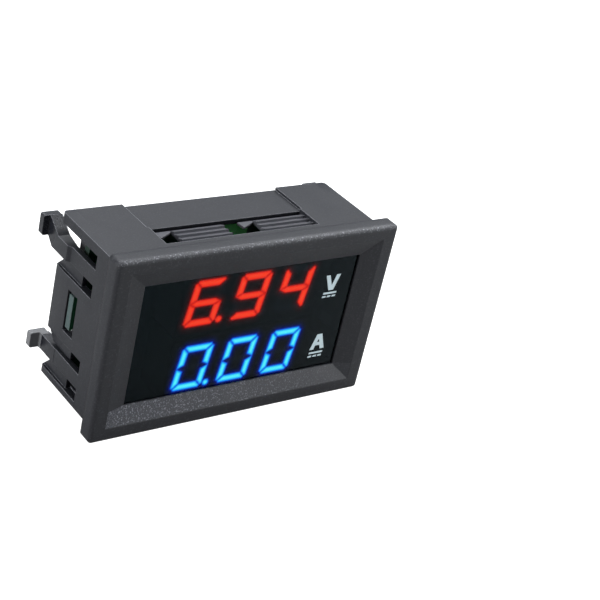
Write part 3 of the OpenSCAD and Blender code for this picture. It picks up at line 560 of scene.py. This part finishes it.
def painted_halo_sheet(name, shell, figures, reach, core):
    """A closed sheet over a module's face that carries the painted halo. Glow is 0.5 on the edge of a lit bar
    and grows to 1 within core mm inside it. Outside, most of it dies away over reach mm, and the rest over
    HAZE_REACH."""
    low, high = box_mm(shell)
    middle_x, middle_z = centre(low, high)
    wide, tall = high.x - low.x - 2 * HALO_INSET_X, high.z - low.z - 2 * HALO_INSET_Z
    nx, nz = int(wide / HALO_STEP) + 1, int(tall / HALO_STEP) + 1
    gx, gz = np.meshgrid(np.linspace(-wide / 2, wide / 2, nx), np.linspace(-tall / 2, tall / 2, nz))
    near = np.hypot(gx + DIGIT_PITCH - POINT_X + DIGIT_H / 2 * LEAN, gz + DIGIT_H / 2) - POINT_R
    for place, figure in enumerate(figures):
        shift = (place - 1) * DIGIT_PITCH
        for index in FIGURES[figure]:
            outline = [(px + pz * LEAN + shift, pz) for px, pz in bar_outline(index)]
            near = np.minimum(near, signed_distance(gx, gz, outline))
    outside = (0.5 - HAZE) * np.exp(-near / reach) + HAZE * np.exp(-near / HAZE_REACH)
    glow = np.where(near < 0, 0.5 + 0.5 * np.minimum(-near / core, 1.0), outside)
    grid = np.stack([(gx + middle_x) * MM, np.zeros(gx.shape), (gz + middle_z) * MM], -1).reshape(-1, 3)
    front, back = grid + (0, HALO_Y0, 0), grid + (0, HALO_Y1, 0)
    ids = np.arange(nx * nz).reshape(nz, nx)
    a, b, c, d = ids[:-1, :-1], ids[:-1, 1:], ids[1:, 1:], ids[1:, :-1]
    face_front = np.stack([a, b, c, d], -1).reshape(-1, 4)
    face_back = face_front[:, ::-1] + nx * nz
    loop = np.concatenate([ids[0, :-1], ids[:-1, -1], ids[-1, :0:-1], ids[:0:-1, 0]])
    after = np.roll(loop, -1)
    walls = np.stack([loop, loop + nx * nz, after + nx * nz, after], -1)
    halo_mesh = surface(name, np.concatenate([front, back]), np.concatenate([face_front, face_back, walls]))
    attribute = halo_mesh.data.attributes.new("glow", "FLOAT", "POINT")
    attribute.data.foreach_set("value", np.tile(glow.ravel(), 2).astype(np.float32))
    return halo_mesh


def painted_halo_material(name, strength, *stops):
    """A sheet whose painted glow and cover both follow the glow attribute."""
    material, tree, shader = new_material(name, (0.0, 0.0, 0.0), 0.5, Emission_Strength=strength,
                                          Specular_IOR_Level=0.0)
    attribute = tree.nodes.new("ShaderNodeAttribute")
    attribute.attribute_name = "glow"
    glow = attribute.outputs["Fac"]
    link(tree, ramp(tree, glow, *stops), shader.inputs["Emission Color"])
    link(tree, ramp(tree, glow, (0.0, 0.0), (0.06, 0.0), (0.45, 0.85), (0.55, 1.0)), shader.inputs["Alpha"])
    return material


red_painted_halo = painted_halo_sheet("volt_painted_halo", "volt_display_shell", (6, 9, 4), 0.14, 0.4)
red_painted_halo.data.materials.append(painted_halo_material(
    "red_painted_halo", 66.0, (0.0, (0.02, 0.0, 0.0)), (0.3, (0.2, 0.002, 0.001)), (0.5, (0.62, 0.006, 0.002)),
    (0.72, (0.88, 0.02, 0.005)), (1.0, (0.95, 0.035, 0.009))))
blue_painted_halo = painted_halo_sheet("amp_painted_halo", "amp_display_shell", (0, 0, 0), 0.28, 0.4)
blue_painted_halo.data.materials.append(painted_halo_material(
    "blue_painted_halo", 42.0, (0.0, (0.0, 0.0, 0.01)), (0.3, (0.0, 0.006, 0.2)), (0.5, (0.004, 0.13, 0.85)),
    (0.72, (0.03, 0.6, 0.95)), (1.0, (0.15, 1.0, 1.0))))
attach(red_painted_halo, "meter")
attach(blue_painted_halo, "meter")

# ---------------------------------------------------------------- circuit board
# Glass-epoxy laminate with dark green solder resist over copper on both faces. A strip of its front is
# painted bright green: a painted pool of the light that falls on it through the vent's middle gap. Its edges
# are dark, except on the ears, where they show a pale, fibrous core.
LIT_STRIP_X = (-0.2 * MM, 5.0 * MM)
EAR_EDGE_X = 21.5 * MM
green_board, tree, shader = new_material("green_board", (0.02, 0.17, 0.06), 0.35)
coords, x = placed(tree)[:2]
facing = tree.nodes.new("ShaderNodeSeparateXYZ")
link(tree, tree.nodes.new("ShaderNodeNewGeometry").outputs["True Normal"], facing.inputs[0])
face = maths(tree, "GREATER_THAN", magnitude(tree, facing.outputs[1]), 0.7)
# Painted light: the strip of the front that is lit through the vent's middle gap is painted bright green.
painted_light_strip = product(tree, within(tree, x, *LIT_STRIP_X), maths(tree, "LESS_THAN", facing.outputs[1], 0.5))
poured = mixed(tree, noise(tree, coords, 400.0), (0.006, 0.04, 0.018), (0.012, 0.07, 0.03))
resist_and_painted_strip = mixed(tree, painted_light_strip, poured, (0.16, 0.7, 0.2))
stretched = tree.nodes.new("ShaderNodeVectorMath")
stretched.operation = "MULTIPLY"
link(tree, coords, stretched.inputs[0])
stretched.inputs[1].default_value = (1.0, 1.0, 0.12)
fibres = noise(tree, stretched.outputs["Vector"], 5200.0, 3.0)
core = mixed(tree, ramp(tree, fibres, (0.35, 0.0), (0.65, 1.0)), (0.04, 0.075, 0.07), (0.055, 0.068, 0.07))
# Edges are near black, except on the ears, which show the pale fibrous core.
ear_edge = maths(tree, "GREATER_THAN", magnitude(tree, x), EAR_EDGE_X)
edge = mixed(tree, ear_edge, (0.006, 0.02, 0.012), core)
link(tree, mixed(tree, face, edge, resist_and_painted_strip), shader.inputs["Base Color"])
link(tree, product(tree, face, 0.3), shader.inputs["Coat Weight"])
link(tree, maths(tree, "SUBTRACT", 0.85, product(tree, face, 0.5)), shader.inputs["Roughness"])
link(tree, bump(tree, noise(tree, coords, 5000.0), 0.01 * MM), shader.inputs["Normal"])
clothe(["circuit_board"], green_board)

# ---------------------------------------------------------------- printing and copper on the board
# White epoxy print round each part on the rear face, with plain letters and numbers for the pins.
# Copper tracks stand a little proud under the resist. They run between the two modules' pins, away
# from the largest chip's leads, and broad from the current header to the shunt.
BOARD_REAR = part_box("circuit_board")[1].y
END_R, END_LIFT = 0.54, 0.003 * MM
FONT_TO_CAPITAL, LETTER_HALF_T, LETTER_LIFT = 1.4, 0.01 * MM, 0.008 * MM


def solids_of(name):
    """Lowest and highest corner, in mm, of every separate solid in a CAD node: points that share a
    face belong together."""
    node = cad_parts[name]
    points = np.array([node.matrix_world @ vertex.co for vertex in node.data.vertices]) / MM
    _, same = np.unique(points.round(3), axis=0, return_inverse=True)
    same = same.ravel()
    label = np.arange(same.max() + 1)
    faces = [same[list(polygon.vertices)] for polygon in node.data.polygons]
    changed = True
    while changed:
        changed = False
        for face in faces:
            least = label[face].min()
            if (label[face] != least).any():
                label[face] = least
                changed = True
    groups = label[same]
    return [(points[groups == k].min(0), points[groups == k].max(0)) for k in np.unique(groups)]


def disc(x, z, radius, low_y, high_y, sides=12):
    """A flat round plate, in mm across and in metres along Y."""
    turns = np.linspace(0, 2 * np.pi, sides, endpoint=False)
    return flat_prism([[(x + radius * np.cos(t), z + radius * np.sin(t)) for t in turns]], low_y, high_y)


def stroke(points, width, thickness):
    """Flat bars of one width on the board, along a bent line in X and Z. Round ends, a hair thicker
    and wider than the bars, cover each bend."""
    top = BOARD_REAR + thickness
    parts = []
    for (ax, az), (bx, bz) in zip(points[:-1], points[1:]):
        long = np.hypot(bx - ax, bz - az)
        ox, oz = -(bz - az) / long * width / 2, (bx - ax) / long * width / 2
        bar = [(ax + ox, az + oz), (ax - ox, az - oz), (bx - ox, bz - oz), (bx + ox, bz + oz)]
        parts.append(flat_prism([bar], BOARD_REAR, top))
    return parts + [disc(px, pz, width * END_R, BOARD_REAR, top + END_LIFT) for px, pz in points]


def lettering(words, height, x, z, base_y):
    """Words as thin closed plates that read from behind the meter, centred on a place in mm. Height
    is that of the capitals."""
    curve = bpy.data.curves.new("words", "FONT")
    curve.body = words
    curve.size = height * FONT_TO_CAPITAL * MM
    curve.extrude = LETTER_HALF_T
    curve.resolution_u = 2
    curve.align_x, curve.align_y = "CENTER", "CENTER"
    holder = bpy.data.objects.new("words", curve)
    mesh = bpy.data.meshes.new_from_object(holder)
    raw = np.array([vertex.co for vertex in mesh.vertices])
    place = np.stack([x * MM - raw[:, 0], base_y + raw[:, 2] + LETTER_LIFT, z * MM + raw[:, 1]], -1)
    points, same = np.unique(place.round(7), axis=0, return_inverse=True)
    same = same.ravel()
    faces = [tuple(same[list(polygon.vertices)]) for polygon in mesh.polygons]
    bpy.data.objects.remove(holder)
    bpy.data.curves.remove(curve)
    bpy.data.meshes.remove(mesh)
    return points, [face for face in faces if len(set(face)) == len(face)]


PRINT_T = 0.02 * MM
PRINT_W, PRINT_GAP, LETTER_H = 0.14, 0.3, 0.95
PRINT_X, PRINT_Z = 21.3, 11.5
# Each word with the X and Z of its middle.
PRINT_WORDS = (("1", 17.3, 1.6), ("2", 14.8, 1.6), ("3", 12.3, 1.6), ("V", 19.9, 1.6),
               ("+", 16.58, -0.9), ("-", 12.62, -0.9), ("A", 19.9, -0.9), ("V", -8.3, 5.4),
               ("A", -8.3, -6.4), ("C1", -8.4, 2.6), ("R2", 8.4, 5.9), ("R3", 8.3, -0.4))
printed = []
for name in ("supply_header", "current_header", "volt_trimmer_base", "amp_trimmer_base", "amplifier",
             "microcontroller", "voltage_regulator", "protection_diode", "input_capacitor_base"):
    low, high = box_mm(name)
    x0, x1 = max(low.x - PRINT_GAP, -PRINT_X), min(high.x + PRINT_GAP, PRINT_X)
    z0, z1 = max(low.z - PRINT_GAP, -PRINT_Z), min(high.z + PRINT_GAP, PRINT_Z)
    printed += stroke([(x0, z0), (x1, z0), (x1, z1), (x0, z1), (x0, z0)], PRINT_W, PRINT_T)
for words, x_mm, z_mm in PRINT_WORDS:
    printed.append(lettering(words, LETTER_H, x_mm, z_mm, BOARD_REAR))
board_print = surface("board_print", *joined(printed))
white_epoxy = mottled("white_epoxy", 0.5, 3000.0, (0.6, 0.6, 0.56), (0.76, 0.76, 0.72))[0]
board_print.data.materials.append(white_epoxy)
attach(board_print, "meter")

TRACK_T = 0.03 * MM
TRACK_W, THIN_TRACK_W, WIDE_TRACK_W, VIA_R = 0.36, 0.2, 2.2, 0.2
TRACK_JOG, TRACK_TURN, FAN_REACH, FAN_STEP = 0.55, 0.8, 0.55, 0.4
UNDER_LEAD, UNDER_SHUNT, UNDER_HEADER = 0.2, 0.6, 0.5
pins = [centre(low, high) for low, high in solids_of("volt_display_pins")]
volt_z = min(pin_z for _, pin_z in pins)
volt_xs = sorted(pin_x for pin_x, pin_z in pins if pin_z < volt_z + 1)
amp_z = max(centre(low, high)[1] for low, high in solids_of("amp_display_pins"))
tracks = []
for k, x_mm in enumerate(volt_xs):
    jog = x_mm + TRACK_JOG * (k % 2)
    tracks += stroke([(x_mm, volt_z), (jog, volt_z - TRACK_TURN), (jog, amp_z + TRACK_TURN), (x_mm, amp_z)],
                     TRACK_W, TRACK_T)
chip_x = centre(*box_mm("microcontroller"))[0]
for k, (low, high) in enumerate(solids_of("microcontroller_leads")):
    z_mm = centre(low, high)[1]
    start, way = (high[0], 1) if low[0] > chip_x else (low[0], -1)
    end = start + way * (FAN_REACH + FAN_STEP * (k % 3 if way > 0 else 0))
    tracks += stroke([(start - way * UNDER_LEAD, z_mm), (end, z_mm)], THIN_TRACK_W, TRACK_T)
    tracks.append(disc(end, z_mm, VIA_R, BOARD_REAR, BOARD_REAR + TRACK_T, 10))
low, high = box_mm("current_shunt")
shunt_z = centre(low, high)[1]
header_x = box_mm("current_header")[0].x
wide_track = rectangle(high.x - UNDER_SHUNT, shunt_z - WIDE_TRACK_W / 2,
                       header_x + UNDER_HEADER, shunt_z + WIDE_TRACK_W / 2)
tracks.append(flat_prism(wide_track, BOARD_REAR, BOARD_REAR + TRACK_T))
board_tracks = surface("board_tracks", *joined(tracks))
covered_copper = mottled("covered_copper", 0.32, 400.0, (0.02, 0.11, 0.045), (0.03, 0.15, 0.06),
                         Coat_Weight=0.3)[0]
board_tracks.data.materials.append(covered_copper)
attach(board_tracks, "meter")

# ---------------------------------------------------------------- tinned metal
# Legs, header pins and chip leads are tinned copper alloy, drawn or stamped and a little uneven.
tinned, tree, shader = new_material("tinned", (0.72, 0.72, 0.7), 0.3, Metallic=1.0)
cloud = noise(tree, placed(tree)[0], 1800.0, 3.0)
link(tree, mixed(tree, cloud, (0.6, 0.6, 0.58), (0.82, 0.82, 0.8)), shader.inputs["Base Color"])
link(tree, maths(tree, "ADD", 0.22, product(tree, cloud, 0.25)), shader.inputs["Roughness"])
clothe(["volt_display_pins", "amp_display_pins", "current_header_pins", "supply_header_pins",
        "microcontroller_leads", "amplifier_leads", "regulator_leads", "diode_leads"], tinned)

# ---------------------------------------------------------------- solder
# Each through pin stands in a bright cone of solder, each lead of a chip lies on a tinned pad, and
# the small ceramic parts have plated ends.
CONE_FLARE, CONE_H, CONE_RINGS, CONE_SIDES = 0.55, 0.62, 4, 14


def solder_cone(x, z, pin_r):
    """A cone whose side is hollow: its radius falls with the square of what is left of its height."""
    points, faces = [], []
    for ring in range(CONE_RINGS + 1):
        part = ring / CONE_RINGS
        radius = pin_r + CONE_FLARE * (1 - part) ** 2
        for turn in np.linspace(0, 2 * np.pi, CONE_SIDES, endpoint=False):
            points.append(((x + radius * np.cos(turn)) * MM, BOARD_REAR + part * CONE_H * MM,
                           (z + radius * np.sin(turn)) * MM))
    for ring in range(CONE_RINGS):
        for k in range(CONE_SIDES):
            a, b = ring * CONE_SIDES + k, ring * CONE_SIDES + (k + 1) % CONE_SIDES
            faces.append((a, a + CONE_SIDES, b + CONE_SIDES, b))
    faces.append(tuple(range(CONE_SIDES)))
    faces.append(tuple(reversed(range(CONE_RINGS * CONE_SIDES, (CONE_RINGS + 1) * CONE_SIDES))))
    return points, faces


cones = []
for name in ("volt_display_pins", "amp_display_pins"):
    for low, high in solids_of(name):
        cones.append(solder_cone(*centre(low, high), (high[0] - low[0]) / 2 + 0.02))
low, high = box_mm("current_shunt")
wire_r = (high.z - low.z) / 2
for x_mm in (low.x + wire_r, high.x - wire_r):
    cones.append(solder_cone(x_mm, centre(low, high)[1], wire_r + 0.03))
solder_joints = surface("solder_joints", *joined(cones), smooth=True)
solder_joints.data.materials.append(tinned)
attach(solder_joints, "meter")

PAD_T, PAD_GROW, PAD_SIDE, FINE_PAD_SIDE = 0.04 * MM, 0.18, 0.18, 0.06
END_SHARE, CAP_PROUD, CAP_PAD_GROW = 0.2, 0.02, 0.12
pads, caps = [], []
for name in ("microcontroller_leads", "amplifier_leads", "regulator_leads", "diode_leads"):
    side = FINE_PAD_SIDE if name == "microcontroller_leads" else PAD_SIDE
    for low, high in solids_of(name):
        pad = rectangle(low[0] - PAD_GROW, low[2] - side, high[0] + PAD_GROW, high[2] + side)
        pads.append(flat_prism(pad, BOARD_REAR, BOARD_REAR + PAD_T))
for name in ("ceramic_capacitors", "chip_resistors"):
    for low, high in solids_of(name):
        along = 0 if high[0] - low[0] > high[2] - low[2] else 2
        plated = END_SHARE * (high[along] - low[along])
        for start, end in ((low[along], low[along] + plated), (high[along] - plated, high[along])):
            a, b = low - CAP_PROUD, high + CAP_PROUD
            a[along], b[along] = start - CAP_PROUD, end + CAP_PROUD
            caps.append(flat_prism(rectangle(a[0], a[2], b[0], b[2]), BOARD_REAR, b[1] * MM))
            a, b = a - CAP_PAD_GROW, b + CAP_PAD_GROW
            pads.append(flat_prism(rectangle(a[0], a[2], b[0], b[2]), BOARD_REAR, BOARD_REAR + PAD_T))
tinned_pads = surface("tinned_pads", *joined(pads))
plated_ends = surface("plated_ends", *joined(caps))
for piece in (tinned_pads, plated_ends):
    piece.data.materials.append(tinned)
    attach(piece, "meter")

# ---------------------------------------------------------------- headers
# Both headers are moulded in off-white nylon, slightly see-through at thin walls.
nylon, tree, shader, coords = mottled("white_nylon", 0.42, 500.0, (0.76, 0.75, 0.69), (0.84, 0.83, 0.78),
                                      Subsurface_Weight=0.15, Subsurface_Scale=0.002)
edges = place_group(tree, edge_group, Radius=0.12 * MM)
link(tree, bump(tree, noise(tree, coords, 2500.0), 0.006 * MM, 0.5, edges.outputs["Normal"]),
     shader.inputs["Normal"])
clothe(["current_header", "supply_header"], nylon)

# ---------------------------------------------------------------- shunt
# A bridge of thick resistance wire, a copper and nickel alloy, bent cold and soldered in.
alloy = mottled("shunt_alloy", 0.34, 900.0, (0.46, 0.3, 0.2), (0.7, 0.52, 0.4), 4.0, Metallic=1.0)[0]
clothe(["current_shunt"], alloy)

# ---------------------------------------------------------------- trimmers
# Blue moulded base with a plated steel disc that a small screwdriver turns.
trimmer_blue, tree, shader, _ = mottled("trimmer_blue", 0.4, 900.0, (0.025, 0.11, 0.38), (0.04, 0.16, 0.48))
edges = place_group(tree, edge_group, Radius=0.1 * MM)
link(tree, edges.outputs["Normal"], shader.inputs["Normal"])
clothe(["volt_trimmer_base", "amp_trimmer_base"], trimmer_blue)
plated_disc, tree, shader, _ = mottled("trimmer_disc", 0.3, 1500.0, (0.55, 0.53, 0.47), (0.8, 0.79, 0.72),
                                       4.0, Metallic=1.0)
edges = place_group(tree, edge_group, Radius=0.08 * MM)
link(tree, edges.outputs["Normal"], shader.inputs["Normal"])
clothe(["volt_trimmer_rotor", "amp_trimmer_rotor"], plated_disc)

# ---------------------------------------------------------------- chips
# Black moulding resin with a fine matt skin and plain laser marks. A round mark shows pin 1, and the
# diode has a pale band at its cathode.
resin, tree, shader, coords = mottled("chip_resin", 0.55, 4000.0, (0.022, 0.022, 0.025),
                                      (0.045, 0.045, 0.048))
edges = place_group(tree, edge_group, Radius=0.1 * MM)
link(tree, bump(tree, noise(tree, coords, 6000.0), 0.01 * MM, 0.5, edges.outputs["Normal"]),
     shader.inputs["Normal"])
clothe(["microcontroller", "amplifier", "voltage_regulator", "protection_diode", "input_capacitor_base"],
       resin)

MARK_T = 0.02 * MM
DOT_IN, DOT_R, BAND_X0, BAND_X1 = 0.7, 0.3, 0.4, 1.0
marks = []
for name, words, height in (("microcontroller", "8-BIT", 1.0), ("amplifier", "AMP", 0.9),
                            ("voltage_regulator", "5V", 1.0)):
    low, high = box_mm(name)
    marks.append(lettering(words, height, *centre(low, high), high.y * MM))
for name in ("microcontroller", "amplifier"):
    corner = box_mm(name)[1]
    top = corner.y * MM
    marks.append(disc(corner.x - DOT_IN, corner.z - DOT_IN, DOT_R, top - MARK_T, top + MARK_T, 20))
low, high = box_mm("protection_diode")
cathode = rectangle(low.x + BAND_X0, low.z, low.x + BAND_X1, high.z)
marks.append(flat_prism(cathode, high.y * MM, high.y * MM + MARK_T))
for low, high in solids_of("chip_resistors"):
    if high[0] - low[0] > high[2] - low[2]:
        marks.append(lettering("103", 0.42, *centre(low, high), high[1] * MM))
chip_marks = surface("chip_marks", *joined(marks))
laser_mark = mottled("laser_mark", 0.6, 5000.0, (0.22, 0.22, 0.22), (0.36, 0.36, 0.35))[0]
chip_marks.data.materials.append(laser_mark)
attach(chip_marks, "meter")

# ---------------------------------------------------------------- input capacitor
# Drawn aluminium can; a black half-moon printed on its top marks the negative side.
can = mottled("can_aluminium", 0.32, 600.0, (0.66, 0.67, 0.69), (0.8, 0.81, 0.83), Metallic=1.0)[0]
clothe(["input_capacitor"], can)
low, high = box_mm("input_capacitor")
top = high.y * MM
can_x, can_z = centre(low, high)
moon_r = (high.x - low.x) / 2 - 0.25
arc = np.linspace(np.radians(35), np.radians(145), 18)
moon = [[(can_x + moon_r * np.cos(t), can_z + moon_r * np.sin(t)) for t in arc]]
can_parts = [flat_prism(moon, top, top + MARK_T),
             lettering("47", 0.8, can_x, can_z + 0.1, top),
             lettering("16V", 0.65, can_x, can_z - 0.95, top)]
can_print = surface("can_print", *joined(can_parts))
black_ink = mottled("black_ink", 0.4, 3000.0, (0.015, 0.015, 0.016), (0.03, 0.03, 0.032))[0]
can_print.data.materials.append(black_ink)
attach(can_print, "meter")

# ---------------------------------------------------------------- small ceramic parts
# Sintered tan capacitors and glazed black resistors with tinned ends.
tan = mottled("tan_ceramic", 0.5, 2500.0, (0.34, 0.23, 0.12), (0.46, 0.33, 0.2))[0]
clothe(["ceramic_capacitors"], tan)
glaze = mottled("black_glaze", 0.25, 2500.0, (0.016, 0.016, 0.02), (0.03, 0.03, 0.035))[0]
clothe(["chip_resistors"], glaze)
